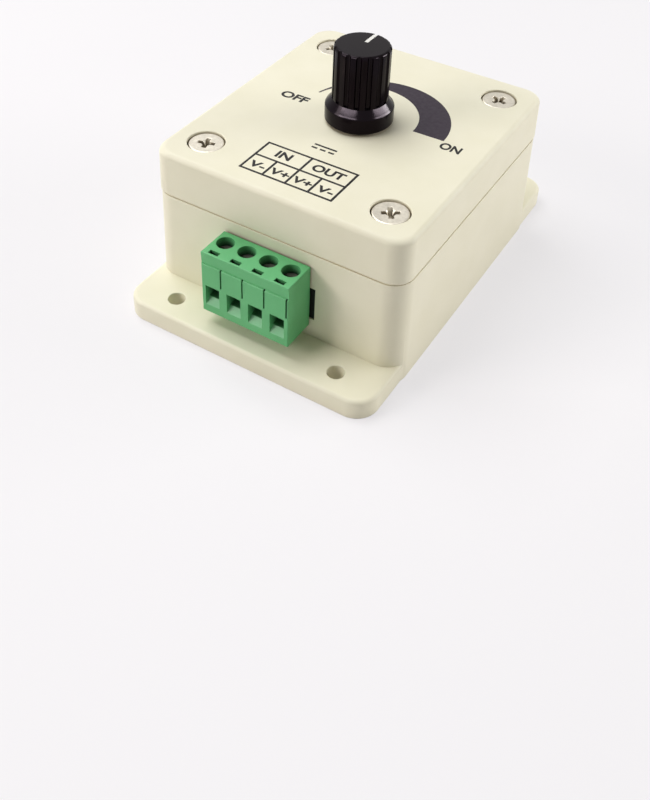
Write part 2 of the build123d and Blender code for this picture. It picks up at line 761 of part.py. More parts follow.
diode_places, resistor_spots = axial_places()
nodes = {
    "base_shell": [make_base_shell()],
    "cover_shell": [make_cover_shell()],
    "cover_screws": [Pos(x, y) * make_cover_screw() for x, y in cover_screw_places],
    "circuit_board": [make_circuit_board()],
    "board_screws": [Pos(x, standoff_y) * make_board_screw() for x in (-standoff_x, standoff_x)],
    "terminal_header": [make_terminal_header()],
    "header_pins": [make_header_pin(x) for x in pole_places],
    "terminal_plug": [make_terminal_plug()],
    "plug_contacts": [make_plug_contact(x) for x in pole_places],
    "pot_bushing": [make_pot_bushing()],
    "pot_wafer": [make_pot_wafer()],
    "pot_can": [make_pot_can()],
    "pot_shaft": [make_pot_shaft()],
    "pot_rotor": [make_pot_rotor()],
    "pot_wiper": [make_pot_wiper()],
    "pot_lugs": [make_pot_lug(y) for y in lug_places],
    "pot_leads": [make_pot_lead(y) for y in lug_places],
    "pot_nut": [make_pot_nut()],
    "pot_washer": [make_pot_washer()],
    "dimmer_knob": [make_dimmer_knob()],
    "timer_chip": [make_timer_chip()],
    "timer_chip_legs": [make_chip_leg(x, y, side) for x, y, side in chip_leg_places()],
    "supply_capacitor": [make_supply_capacitor()],
    "timing_capacitor": [make_timing_capacitor()],
    "steering_diodes": [make_axial_part(place, diode_diameter, diode_length, diode_span)
                        for place in diode_places],
    "resistors": [make_axial_part(place, resistor_diameter, resistor_length, resistor_span)
                  for place in resistor_spots],
    "transistor_body": [make_transistor_body()],
    "transistor_tab": [make_transistor_tab()],
    "transistor_legs": [make_transistor_leg(leg) for leg in (-1, 0, 1)],
}
for number, x in enumerate(pole_places, start=1):
    nodes[f"clamp_screw_{number}"] = [make_clamp_screw(x)]
    nodes[f"clamp_cage_{number}"] = [make_clamp_cage(x)]

os.makedirs("parts", exist_ok=True)
for name, pieces in nodes.items():
    solids = [solid for piece in pieces for solid in piece.solids()]
    export_step(solids[0] if len(solids) == 1 else Compound(solids), f"parts/{name}.step")
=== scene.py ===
import math

import bmesh
import bpy
from mathutils import Matrix, Quaternion, Vector


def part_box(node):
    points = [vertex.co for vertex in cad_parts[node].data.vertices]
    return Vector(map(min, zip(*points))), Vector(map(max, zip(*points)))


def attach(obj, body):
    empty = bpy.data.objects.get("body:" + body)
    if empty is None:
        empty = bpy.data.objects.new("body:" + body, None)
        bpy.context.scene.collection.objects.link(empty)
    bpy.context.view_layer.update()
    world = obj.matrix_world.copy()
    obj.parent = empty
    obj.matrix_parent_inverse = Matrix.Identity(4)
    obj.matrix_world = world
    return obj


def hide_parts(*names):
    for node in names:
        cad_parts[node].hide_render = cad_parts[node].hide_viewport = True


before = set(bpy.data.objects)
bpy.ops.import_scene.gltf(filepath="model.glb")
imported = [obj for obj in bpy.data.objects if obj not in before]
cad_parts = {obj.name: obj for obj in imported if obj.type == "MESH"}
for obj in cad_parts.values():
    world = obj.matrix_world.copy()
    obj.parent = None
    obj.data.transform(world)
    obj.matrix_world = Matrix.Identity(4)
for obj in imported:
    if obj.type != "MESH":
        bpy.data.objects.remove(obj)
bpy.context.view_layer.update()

# A dimmer for light strips, dressed for show. Sizes are millimetres; places are read from the frame.
MM = 0.001


def span(node):
    """Lowest and highest corner of a piece of the frame."""
    low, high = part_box(node)
    return low / MM, high / MM


cover_low, cover_high = span("cover_shell")
screws_low, screws_high = span("cover_screws")
knob_low, knob_high = span("dimmer_knob")
plug_low, plug_high = span("terminal_plug")
clamp_low, clamp_high = span("clamp_screw_1")
board_low, board_high = span("circuit_board")
base_high = span("base_shell")[1]
shaft_top = span("pot_shaft")[1].z
header_front = span("terminal_header")[0].y

# How far a cutter runs past a face, and how near a point counts as on a face or at a rim
cut_past = 1
face_tolerance = 0.01
rim_tolerance = 0.05

# How many steps a curve is drawn in
corner_steps = 14
round_steps = 7
foot_steps = 3
cover_edge_steps = 9
edge_steps = 3
fine_edge_steps = 2

# Case
parting_height = cover_low.z
case_height = cover_high.z
case_width = 2 * base_high.x
base_length = 2 * base_high.y
wall = 2.0
floor_thickness = 2.5
roof_thickness = 2.0
wall_draft = math.radians(0.8)
body_corner_radius = 4.8
inner_corner_radius = body_corner_radius - wall
cover_edge_radius = 1.2
parting_groove_height = 0.4
parting_groove_depth = 0.32
parting_edge_radius = 0.12
cover_lip_rise = 0.5
tongue_thickness = 0.725
tongue_height = base_high.z - parting_height
tongue_clearance = 0.15


def lean(height):
    """How far a drafted wall has leaned in at a height."""
    return height * math.tan(wall_draft)


body_length = 2 * (cover_high.y + lean(parting_height + cover_lip_rise))
inner_width = case_width - 2 * wall
inner_length = body_length - 2 * wall
roof_under = case_height - roof_thickness

# Mounting flanges
flange_side_step = 0.2
flange_thickness = 4.5
flange_corner_radius = 5.1
flange_edge_radius = 0.8
flange_foot_radius = 0.3
flange_hole_diameter = 3.6
flange_hole_side_inset = 10.05
flange_hole_wall_distance = 5.8
hole_rim_radius = 0.2

# Cover screws and the columns that take them
screw_head_diameter = 7.4
screw_head_height = 2.2
screw_head_dome = 0.4
screw_core_diameter = 3.1
screw_tip_length = 1.2
screw_recess_diameter = 7.8
screw_recess_rim = 0.18
screw_hole_diameter = 4.2
screw_x = screws_high.x - screw_head_diameter / 2
screw_y = screws_high.y - screw_head_diameter / 2
screw_places = [(x, y) for x in (-screw_x, screw_x) for y in (-screw_y, screw_y)]
screw_turns = (17, 52, 33, 68)
cross_length = 4.2
cross_width = 1.1
cross_depth = 1.7
cross_foot_share = 0.6
cross_cone_rise = 0.2
cross_edge_radius = 0.1
cover_column_diameter = 12.1
base_boss_diameter = 9.0
boss_rib_thickness = 1.6
boss_rib_drop = 2.0
pilot_depth = 11.5
pilot_clearance = 0.1

# Board standoffs inside the base
standoff_diameter = 5.5
standoff_top = board_low.z
standoff_side_inset = 3.25
standoff_end_inset = 4.0
standoff_x = board_high.x - standoff_side_inset
standoff_y = board_high.y - standoff_end_inset
standoff_pilot_diameter = 2.0
standoff_pilot_depth = 2.8

# Potentiometer hole in the cover
shaft_hole_diameter = 7.2

# Knob; each shoulder point is an inset from the skirt's side and a rise over its top
knob_skirt_height = 3.6
knob_bevel_height = 1.5
knob_barrel_diameter = 11.8
knob_top_radius = 0.7
knob_skirt_radius = 0.3
knob_shoulder_points = ((0.12, -0.05), (0.4, 0.25))
knob_flute_count = 16
knob_flute_radius = 0.6
knob_flute_depth = 0.5
knob_nut_pocket_diameter = 12.45
knob_nut_pocket_rise = 2.8
knob_bushing_pocket_diameter = 8.0
knob_bushing_pocket_rise = 4.3
knob_bore_diameter = 6.06
knob_bore_room = 0.3
knob_flat_place = 1.53
knob_flat_length = 8.0
knob_flat_overlap = 0.2
knob_smooth_angle = 28
knob_pointer_width = 0.9
knob_pointer_depth = 0.35
knob_pointer_start = 1.2
knob_pointer_paint = 0.3
knob_pointer_end_gap = 0.2
knob_pointer_edge_radius = 0.06

# Terminal plug
pole_count = 4
pole_pitch = 5.08
plug_depth = 7.9
plug_back = plug_low.y + plug_depth
plug_brow_height = 2.9
plug_brow_step = 0.3
plug_brow_setback = 0.1
nose_side_step = 0.5
nose_rise = 2.1
nose_height = 6.3
plug_edge_radius = 0.22
plug_edge_angle = 45
plug_middle = (plug_low.x + plug_high.x) / 2
pole_places = [plug_middle + (pole - (pole_count - 1) / 2) * pole_pitch for pole in range(pole_count)]
clamp_row = (clamp_low.y + clamp_high.y) / 2
entry_width = 3.3
entry_rise = 3.2
entry_height = 3.55
entry_lip_drop = 1.25
entry_lip_depth = 1.2
screw_well_diameter = 3.7
screw_well_rim = 0.12
clamp_screw_diameter = 2.9
clamp_tip_chamfer = 0.3
clamp_head_height = 1.4
clamp_head_dome = 0.25
clamp_dome_steps = 4
clamp_slot_width = 0.6
clamp_slot_depth = 0.7
clamp_passage_diameter = 3.2
clamp_passage_overlap = 0.5
pocket_width = 4.2
pocket_length = 3.6
pocket_drop = 1.0
pocket_rise = 4.1
channel_width = 2.7
channel_lift = 0.795
channel_rise = 0.8
test_slot_width = 2.3
test_slot_length = 1.05
test_slot_setback = 0.45
test_slot_depth = 1.5
slit_width = 0.35
slit_offset = 2.1
slit_rise = 7.4
slit_height = 4.75
slit_depth = 0.8
cutout_width = 22.26
cutout_drop = 0.6
cutout_rise = 0.9
nose_clearance = 0.25
collar_gap = 0.1

# Printed legends on the cover
ink_thickness = 0.02
ink_sink = 0.01
ink_heights = (case_height - ink_sink, case_height + ink_thickness)
table_x = (-10.45, 10.25)
table_y = (-28.2, -18.0)
table_row = -22.9
table_line = 0.5
heading_y = (-21.6, -19.2)
in_width = 3.4
out_width = 7.2
pole_mark_y = (-27.0, -24.9)
pole_mark_widths = {"-": 3.6, "+": 4.3}
pole_marks = "-++-"
off_x, off_y = (-19.3, -12.7), (-1.1, 1.5)
on_x, on_y = (18.7, 23.3), (-0.5, 2.05)
letter_boldness = 0.034
letter_thickness = 0.1
current_stroke = 0.5
current_bar_length = 5.2
current_bar_y = -13.2
current_dash_length = 1.3
current_dash_pitch = 1.95
current_dash_y = -14.4

# The crescent round the knob: pairs are its values at OFF, where it is thin, and at ON, where it is wide
crescent_steps = 96
crescent_middle = Vector((0.08, 1.9))
crescent_angles = (math.radians(167), math.radians(1.5))
crescent_inner_radii = (13.0, 11.55)
crescent_widths = (0.35, 7.0)
crescent_swell = 1.6

# Noise in the finishes: the size of its lumps, and the levels between which it mostly lies
cloud_size = 9.0
tool_mark_size = 0.5
polish_size = 1.6
print_size = 0.5
noise_levels = (0.3, 0.7)

# Painted shade in hollows: the share of open sky at which the painted shade is darkest, and the rays that
# look for it
painted_shade_share = 0.12
painted_shade_rays = 8

# Camera, worked back from the photograph's edges; its frame is 650 by 800 pixels
frame_height_pixels = 800
focal_pixels = 1025.9
camera_azimuth = math.radians(30.174)
camera_elevation = math.radians(35.977)
camera_roll = math.radians(2.216)
camera_distance = 235.91
camera_side = -5.97
camera_rise = 11.34
camera_shift = -0.25
camera_clip = (10, 10000)

# Light that comes from all round, where 1 is white, and the share of the floor that looks plain white
sky_level = 0.1
sky_colour = (1.0, 0.995, 0.985, 1)
floor_white_share = 0.62
floor_width = 4000
floor_cloud_size = 160.0


# Bench work

def take(piece):
    """Leaves a piece as the only one selected."""
    bpy.ops.object.select_all(action="DESELECT")
    piece.select_set(True)
    bpy.context.view_layer.objects.active = piece


def settle(name):
    """Names the piece just added, and puts its place and scale into its mesh."""
    piece = bpy.context.active_object
    piece.name = name
    piece.data.name = name
    bpy.ops.object.transform_apply(location=True, rotation=True, scale=True)
    return piece


def open_mesh(piece, kind):
    """Opens a piece for editing, with nothing picked."""
    take(piece)
    bpy.ops.object.mode_set(mode="EDIT")
    bpy.ops.mesh.select_mode(type=kind)
    bpy.ops.mesh.select_all(action="DESELECT")
    return bmesh.from_edit_mesh(piece.data)


def close_mesh():
    """Ends the editing of a piece."""
    bpy.ops.object.mode_set(mode="OBJECT")


def around(middle, width):
    """The pair of limits of a width about its middle."""
    return (middle - width / 2, middle + width / 2)


def block(x_span, y_span, z_span):
    """A block between pairs of limits."""
    spans = (x_span, y_span, z_span)
    bpy.ops.object.select_all(action="DESELECT")
    bpy.ops.mesh.primitive_cube_add(size=1, location=[MM * sum(pair) / 2 for pair in spans])
    bpy.context.active_object.scale = [MM * (high - low) for low, high in spans]
    return settle("block")


def rod(diameter, low, high, x=0.0, y=0.0, sides=64):
    """A standing round bar between two heights."""
    bpy.ops.object.select_all(action="DESELECT")
    bpy.ops.mesh.primitive_cylinder_add(vertices=sides, radius=MM * diameter / 2,
                                        depth=MM * (high - low),
                                        location=(MM * x, MM * y, MM * (low + high) / 2))
    return settle("rod")


def rounded_sheet(name, width, length, radius, height):
    """A flat sheet with rounded corners, from which a moulding is drawn up."""
    bpy.ops.object.select_all(action="DESELECT")
    bpy.ops.mesh.primitive_plane_add(size=1, location=(0, 0, MM * height))
    bpy.context.active_object.scale = (MM * width, MM * length, 1)
    sheet = settle(name)
    open_mesh(sheet, "VERT")
    bpy.ops.mesh.select_all(action="SELECT")
    bpy.ops.mesh.bevel(offset=MM * radius, segments=corner_steps, affect="VERTICES")
    close_mesh()
    return sheet


def raise_top(piece, rise, inset=0.0):
    """Draws the top face up, and in by an inset on every side."""
    mesh = open_mesh(piece, "FACE")
    top = max(mesh.faces,
              key=lambda face: (round(face.calc_center_median().z, 7), face.calc_area()))
    sizes = [2 * max(vert.co[axis] for vert in top.verts) for axis in (0, 1)]
    top.select_set(True)
    bmesh.update_edit_mesh(piece.data)
    bpy.ops.mesh.extrude_region_move(TRANSFORM_OT_translate={"value": (0, 0, MM * rise)})
    if inset:
        factors = [1 - 2 * MM * inset / size for size in sizes]
        bpy.ops.transform.resize(value=(*factors, 1), center_override=(0, 0, 0))
    close_mesh()


def round_in(piece, radius, steps=round_steps):
    """Draws the top face up round a quarter circle, to end a moulding in a rounded edge."""
    for step in range(steps):
        start, end = (math.radians(90 * count / steps) for count in (step, step + 1))
        raise_top(piece, radius * (math.sin(end) - math.sin(start)),
                  radius * (math.cos(start) - math.cos(end)))


def round_out(piece, radius, steps=foot_steps):
    """Draws the top face up and out round a quarter circle, to start a moulding from a rounded foot."""
    for step in range(steps):
        start, end = (math.radians(90 * count / steps) for count in (step, step + 1))
        raise_top(piece, radius * (math.cos(start) - math.cos(end)),
                  radius * (math.sin(start) - math.sin(end)))


def drafted_slab(width, length, radius, low, high):
    """A rounded slab whose sides lean in from their size at height zero."""
    inset = lean(low)
    slab = rounded_sheet("slab", width - 2 * inset, length - 2 * inset, radius - inset, low)
    raise_top(slab, high - low, lean(high - low))
    outward(slab)
    return slab


def quarter_round(radius, height, edge_radius, steps=round_steps):
    """Rings of a rounded edge that ends a turned piece at its top."""
    angles = [math.radians(90 * step / steps) for step in range(steps + 1)]
    return [(radius - edge_radius * (1 - math.cos(angle)), height - edge_radius * (1 - math.sin(angle)))
            for angle in angles]


def turned(name, rings, sides=96):
    """A turned piece, drawn from one ring's radius and height to the next and closed at both ends."""
    radius, height = rings[0]
    bpy.ops.object.select_all(action="DESELECT")
    bpy.ops.mesh.primitive_circle_add(vertices=sides, radius=MM * radius, fill_type="NGON",
                                      location=(0, 0, MM * height))
    piece = settle(name)
    open_mesh(piece, "FACE")
    bpy.ops.mesh.select_all(action="SELECT")
    for next_radius, next_height in rings[1:]:
        rise = (0, 0, MM * (next_height - height))
        bpy.ops.mesh.extrude_region_move(TRANSFORM_OT_translate={"value": rise})
        factor = next_radius / radius
        bpy.ops.transform.resize(value=(factor, factor, 1), center_override=(0, 0, 0))
        radius, height = next_radius, next_height
    close_mesh()
    outward(piece)
    return piece


def outward(piece):
    """Turns every face of a closed piece outwards."""
    open_mesh(piece, "FACE")
    bpy.ops.mesh.select_all(action="SELECT")
    bpy.ops.mesh.normals_make_consistent(inside=False)
    close_mesh()


def raise_sheet(piece, thickness):
    """Gives a flat sheet a thickness upwards."""
    open_mesh(piece, "FACE")
    bpy.ops.mesh.select_all(action="SELECT")
    bpy.ops.mesh.extrude_region_move(TRANSFORM_OT_translate={"value": (0, 0, MM * thickness)})
    close_mesh()
    outward(piece)


def together(tools):
    """Joins tools that stand clear of each other into one."""
    take(tools[0])
    for tool in tools:
        tool.select_set(True)
    bpy.ops.object.join()
    return bpy.context.active_object


def work(piece, tool, operation):
    """Adds a tool to a piece or cuts it away, and puts the tool away."""
    modifier = piece.modifiers.new("work", "BOOLEAN")
    modifier.operation = operation
    modifier.solver = "EXACT"
    modifier.object = tool
    take(piece)
    bpy.ops.object.modifier_apply(modifier=modifier.name)
    bpy.data.objects.remove(tool)


def cut(piece, *tools):
    """Cuts tools away from a piece, one after another."""
    for tool in tools:
        work(piece, tool, "DIFFERENCE")


def add(piece, *tools):
    """Adds tools to a piece, one after another."""
    for tool in tools:
        work(piece, tool, "UNION")


def soften(piece, radius, place, steps=edge_steps, sharper_than=30):
    """Rounds the sharp edges whose two ends lie in a place."""
    mesh = open_mesh(piece, "EDGE")
    for edge in mesh.edges:
        sharp = edge.calc_face_angle(0) > math.radians(sharper_than)
        if sharp and all(place(vert.co / MM) for vert in edge.verts):
            edge.select_set(True)
    bmesh.update_edit_mesh(piece.data)
    bpy.ops.mesh.bevel(offset=MM * radius, segments=steps, affect="EDGES", clamp_overlap=True)
    close_mesh()


def smooth(piece, angle=34):
    """Smooth shading that keeps flat faces flat and sharp edges sharp."""
    take(piece)
    bpy.ops.object.shade_smooth_by_angle(angle=math.radians(angle))
    modifier = piece.modifiers.new("flat faces", "WEIGHTED_NORMAL")
    modifier.keep_sharp = True
    bpy.ops.object.modifier_apply(modifier=modifier.name)


def dress(piece, finish, body, slot, *nodes):
    """Gives a finished piece its material, its body and the nodes that it stands for."""
    piece.data.materials.clear()
    piece.data.materials.append(finish)
    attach(piece, body)
    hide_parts(*nodes)


def copy_of(piece, name, x, y, turn=0.0):
    """A copy with a mesh of its own, turned about its axis and set down in its place."""
    twin = bpy.data.objects.new(name, piece.data.copy())
    bpy.context.scene.collection.objects.link(twin)
    twin.data.transform(Matrix.Translation((MM * x, MM * y, 0))
                        @ Matrix.Rotation(math.radians(turn), 4, "Z"))
    return twin


# Finishes

def paint(red, green, blue):
    """A colour as it is seen, from 0 to 255, as the shader takes it."""
    levels = [level / 255 for level in (red, green, blue)]
    return (*[level / 12.92 if level < 0.04045 else ((level + 0.055) / 1.055) ** 2.4
              for level in levels], 1)


class Finish:
    """A material built up from noise on the piece's own coordinates."""

    def __init__(self, name):
        self.material = bpy.data.materials.new(name)
        self.material.use_nodes = True
        self.nodes = self.material.node_tree.nodes
        self.links = self.material.node_tree.links
        self.shader = self.nodes["Principled BSDF"]
        self.place = self.nodes.new("ShaderNodeTexCoord").outputs["Object"]

    def noise(self, size, detail=3.0):
        """Cloudy noise with lumps of a size."""
        noise = self.nodes.new("ShaderNodeTexNoise")
        noise.inputs["Scale"].default_value = 1 / (MM * size)
        noise.inputs["Detail"].default_value = detail
        self.links.new(self.place, noise.inputs["Vector"])
        return noise.outputs["Fac"]

    def colours(self, pattern, first, second):
        """Runs the surface colour from one to another along a pattern."""
        ramp = self.nodes.new("ShaderNodeValToRGB")
        for stop, level, colour in zip(ramp.color_ramp.elements, noise_levels, (first, second)):
            stop.position = level
            stop.color = colour
        self.links.new(pattern, ramp.inputs["Fac"])
        self.links.new(ramp.outputs["Color"], self.shader.inputs["Base Color"])
        return ramp.outputs["Color"]

    def paint_crevice_shade(self, colour, dark, reach, clear=0.55):
        """Paints shade into the colour of holes narrower than a reach, darkest where least sky is open;
        from a clear share of open sky on, the colour stays.
        """
        hollow = self.nodes.new("ShaderNodeAmbientOcclusion")
        hollow.samples = painted_shade_rays
        hollow.inputs["Distance"].default_value = MM * reach
        spread = self.nodes.new("ShaderNodeMapRange")
        spread.inputs["From Min"].default_value = painted_shade_share
        spread.inputs["From Max"].default_value = clear
        self.links.new(hollow.outputs["AO"], spread.inputs["Value"])
        blend = self.nodes.new("ShaderNodeMix")
        blend.data_type = "RGBA"
        blend.inputs["A"].default_value = dark
        self.links.new(spread.outputs["Result"], blend.inputs["Factor"])
        self.links.new(colour, blend.inputs["B"])
        self.links.new(blend.outputs["Result"], self.shader.inputs["Base Color"])

    def roughness(self, pattern, low, high):
        """Runs the roughness between two values along a pattern."""
        spread = self.nodes.new("ShaderNodeMapRange")
        spread.inputs["From Min"].default_value = noise_levels[0]
        spread.inputs["From Max"].default_value = noise_levels[1]
        spread.inputs["To Min"].default_value = low
        spread.inputs["To Max"].default_value = high
        self.links.new(pattern, spread.inputs["Value"])
        self.links.new(spread.outputs["Result"], self.shader.inputs["Roughness"])

    def grain(self, pattern, depth):
        """Raises the surface along a pattern by a depth."""
        bump = self.nodes.new("ShaderNodeBump")
        bump.inputs["Strength"].default_value = 1.0
        bump.inputs["Distance"].default_value = MM * depth
        self.links.new(pattern, bump.inputs["Height"])
        self.links.new(bump.outputs["Normal"], self.shader.inputs["Normal"])

    def set(self, **values):
        """Sets values that are the same all over the surface."""
        for name, value in values.items():
            self.shader.inputs[name.replace("_", " ")].default_value = value


def moulded(name, colour, shade, rough, grain_size=0.35, grain_depth=0.012, specular=0.5,
            tint=(1, 1, 1, 1), hollow=None):
    """Moulded plastic: a faint cloudiness in the colour, a fine satin grain and perhaps painted shade in
    its hollows.
    """
    finish = Finish(name)
    cloudy = finish.colours(finish.noise(cloud_size), shade, colour)
    if hollow:
        finish.paint_crevice_shade(cloudy, *hollow)
    fine = finish.noise(grain_size, detail=2.0)
    finish.roughness(fine, *rough)
    finish.grain(fine, grain_depth)
    finish.set(Specular_IOR_Level=specular, Specular_Tint=tint)
    return finish.material


def metal(name, colour, shade, rough, hollow=None):
    """Bare or plated metal with faint tool marks and perhaps painted shade in its hollows."""
    finish = Finish(name)
    marks = finish.noise(tool_mark_size, detail=4.0)
    marked = finish.colours(marks, shade, colour)
    if hollow:
        finish.paint_crevice_shade(marked, *hollow)
    finish.roughness(finish.noise(polish_size), *rough)
    finish.grain(marks, depth=0.006)
    finish.set(Metallic=1.0)
    return finish.material


def ink(name, colour, worn):
    """Pad-printed ink, a little uneven, with a slight sheen."""
    finish = Finish(name)
    finish.colours(finish.noise(print_size, detail=4.0), colour, worn)
    finish.roughness(finish.noise(size=0.9), low=0.42, high=0.6)
    finish.grain(finish.noise(size=0.3, detail=2.0), depth=0.004)
    finish.set(Specular_IOR_Level=0.25)
    return finish.material


# The cream's darker brown in its holes and grooves is painted shade.
cream_plastic = moulded("cream_plastic", paint(239, 235, 213), paint(235, 231, 207), (0.36, 0.48),
                        grain_depth=0.008, specular=0.36, hollow=(paint(186, 170, 140), 2.4))
black_plastic = moulded("black_plastic", paint(9, 3, 8), paint(7, 3, 6), (0.13, 0.19), grain_size=0.25,
                        grain_depth=0.002, specular=0.1, tint=(1.0, 0.82, 0.95, 1))
# The green's near-black colour in its entries, wells and slots is painted shade.
green_plastic = moulded("green_plastic", paint(104, 187, 125), paint(96, 177, 116), (0.40, 0.52),
                        grain_size=0.3, grain_depth=0.008, specular=0.3,
                        hollow=(paint(10, 30, 19), 4.0, 0.36))
header_black = moulded("header_black", paint(20, 20, 20), paint(14, 14, 15), (0.42, 0.56), specular=0.25)
chip_black = moulded("chip_black", paint(34, 34, 36), paint(25, 25, 27), (0.6, 0.75), grain_size=0.15,
                     grain_depth=0.02)
board_green = moulded("board_green", paint(38, 118, 62), paint(28, 104, 52), (0.22, 0.36), grain_size=1.2,
                      grain_depth=0.01)
wafer_brown = moulded("wafer_brown", paint(160, 108, 62), paint(136, 88, 48), (0.5, 0.62), grain_size=0.2)
lead_red = moulded("lead_red", paint(190, 38, 32), paint(172, 30, 26), (0.34, 0.46))
sleeve_blue = moulded("sleeve_blue", paint(42, 52, 98), paint(34, 43, 84), (0.18, 0.28))
film_yellow = moulded("film_yellow", paint(214, 168, 52), paint(202, 154, 42), (0.24, 0.36))
resistor_tan = moulded("resistor_tan", paint(214, 186, 142), paint(202, 172, 128), (0.3, 0.42))
pointer_white = moulded("pointer_white", paint(236, 235, 230), paint(224, 223, 216), (0.45, 0.6),
                        grain_size=0.2)
# The nickel's darker colour in its hollows, such as the cross recess, is painted shade.
screw_nickel = metal("screw_nickel", paint(206, 200, 187), paint(188, 182, 169), (0.36, 0.46),
                     hollow=(paint(138, 126, 108), 1.2))
clamp_steel = metal("clamp_steel", paint(104, 101, 95), paint(84, 82, 76), (0.4, 0.55))
pot_zinc = metal("pot_zinc", paint(206, 206, 204), paint(188, 188, 186), (0.3, 0.42))
tinned = metal("tinned", paint(216, 217, 218), paint(196, 197, 199), (0.26, 0.4))
brass = metal("brass", paint(218, 184, 106), paint(200, 164, 88), (0.26, 0.38))
legend_black = ink("legend_black", paint(22, 20, 20), paint(31, 29, 29))
legend_grey = ink("legend_grey", paint(39, 29, 41), paint(46, 36, 48))


# Pieces of the case

def on_outside(point):
    """Whether a point lies on the outer half of the case's walls."""
    return max(abs(point.x) - case_width / 2, abs(point.y) - body_length / 2) > -wall / 2


def make_base():
    """The base: a flange plate with rounded edges and a hollow drafted box, with bosses and holes."""
    flange_width = case_width - 2 * flange_side_step
    foot = 2 * flange_foot_radius
    base = rounded_sheet("base_moulding", flange_width - foot, base_length - foot,
                         flange_corner_radius - flange_foot_radius, 0)
    round_out(base, flange_foot_radius)
    raise_top(base, flange_thickness - flange_foot_radius - flange_edge_radius)
    round_in(base, flange_edge_radius)
    outward(base)
    body = rounded_sheet("body", case_width, body_length, body_corner_radius, 0)
    raise_top(body, parting_height, lean(parting_height))
    raise_top(body, 0, wall - tongue_thickness)
    raise_top(body, tongue_height, lean(tongue_height))
    outward(body)
    add(base, body)
    cut(base, drafted_slab(inner_width, inner_length, inner_corner_radius, floor_thickness,
                           base_high.z + wall))
    rib_heights = (floor_thickness / 2, parting_height - boss_rib_drop)
    for x, y in screw_places:
        rib_x = math.copysign(case_width / 2 - wall / 2 - lean(parting_height), x)
        rib_y = math.copysign(body_length / 2 - wall / 2 - lean(parting_height), y)
        add(base, rod(base_boss_diameter, floor_thickness / 2, parting_height, x, y),
            block(sorted((x, rib_x)), around(y, boss_rib_thickness), rib_heights),
            block(around(x, boss_rib_thickness), sorted((y, rib_y)), rib_heights))
    cut(base, together([rod(screw_core_diameter + pilot_clearance, parting_height - pilot_depth,
                            base_high.z + cut_past, x, y) for x, y in screw_places]))
    add(base, together([rod(standoff_diameter, floor_thickness / 2, standoff_top, x, y)
                        for x in (-standoff_x, standoff_x) for y in (-standoff_y, standoff_y)]))
    cut(base, together([rod(standoff_pilot_diameter, standoff_top - standoff_pilot_depth,
                            standoff_top + cut_past, x, standoff_y) for x in (-standoff_x, standoff_x)]))
    hole_x = case_width / 2 - flange_hole_side_inset
    hole_y = body_length / 2 + flange_hole_wall_distance
    cut(base, together([rod(flange_hole_diameter, -cut_past, flange_thickness + cut_past, x, y)
                        for x in (-hole_x, hole_x) for y in (-hole_y, hole_y)]))
    nose_low = plug_low.z + nose_rise
    front_wall = (-body_length / 2 - wall, -body_length / 2 + 2 * wall)
    cut(base, block(around(plug_middle, cutout_width), front_wall,
                    (nose_low - cutout_drop, nose_low + nose_height + cutout_rise)))

    def hole_rim(point):
        reach = math.hypot(abs(point.x) - hole_x, abs(point.y) - hole_y)
        on_face = min(abs(point.z - flange_thickness), abs(point.z)) < face_tolerance
        return on_face and reach < flange_hole_diameter / 2 + rim_tolerance

    def parting_rim(point):
        return on_outside(point) and abs(point.z - parting_height) < face_tolerance

    soften(base, hole_rim_radius, hole_rim)
    soften(base, parting_edge_radius, parting_rim)
    smooth(base)
    dress(base, cream_plastic, "case", "case_plastic", "base_shell")


def make_cover():
    """The cover: a drafted lid with a rounded top edge, screw columns and sunk seats for the screws."""
    inset = lean(parting_height) + parting_groove_depth
    cover = rounded_sheet("cover_moulding", case_width - 2 * inset, body_length - 2 * inset,
                          body_corner_radius - inset, parting_height)
    raise_top(cover, parting_groove_height, lean(parting_groove_height))
    raise_top(cover, 0, -parting_groove_depth)
    side_height = case_height - parting_height - parting_groove_height - cover_edge_radius
    raise_top(cover, side_height, lean(side_height))
    round_in(cover, cover_edge_radius, cover_edge_steps)
    outward(cover)
    below = parting_height - cut_past
    above = case_height + cut_past
    cut(cover, drafted_slab(inner_width, inner_length, inner_corner_radius, below, roof_under))
    add(cover, *[rod(cover_column_diameter, parting_height, case_height - roof_thickness / 2, x, y)
                 for x, y in screw_places])
    rebate = drafted_slab(inner_width + 2 * (tongue_thickness + tongue_clearance),
                          inner_length + 2 * (tongue_thickness + tongue_clearance),
                          inner_corner_radius + tongue_thickness + tongue_clearance,
                          below, base_high.z + tongue_clearance)
    cut(rebate, drafted_slab(inner_width - 2 * tongue_clearance, inner_length - 2 * tongue_clearance,
                             inner_corner_radius - tongue_clearance, below - cut_past, case_height))
    cut(cover, rebate)
    cut(cover, together([rod(screw_hole_diameter, below, above, x, y) for x, y in screw_places]))
    seat = screws_high.z - screw_head_height
    cut(cover, together([rod(screw_recess_diameter, seat, above, x, y, sides=96)
                         for x, y in screw_places]))
    cut(cover, rod(shaft_hole_diameter, roof_under - cut_past, above))

    def recess_rim(point):
        reach = math.hypot(abs(point.x) - screw_x, abs(point.y) - screw_y)
        on_top = abs(point.z - case_height) < face_tolerance
        return on_top and reach < screw_recess_diameter / 2 + rim_tolerance

    def groove_rim(point):
        groove_top = parting_height + parting_groove_height
        return on_outside(point) and abs(point.z - groove_top) < face_tolerance

    soften(cover, screw_recess_rim, recess_rim)
    soften(cover, parting_edge_radius, groove_rim)
    smooth(cover)
    dress(cover, cream_plastic, "case", "case_plastic", "cover_shell")


def tapered_slot(x_span, y_span, z_span, foot):
    """A slot whose floor is narrower than its mouth."""
    slot = block(x_span, y_span, z_span)
    mesh = open_mesh(slot, "FACE")
    floor = min(mesh.faces, key=lambda face: face.calc_center_median().z)
    floor.select_set(True)
    bmesh.update_edit_mesh(slot.data)
    bpy.ops.transform.resize(value=(foot, foot, 1), center_override=(0, 0, 0))
    close_mesh()
    return slot


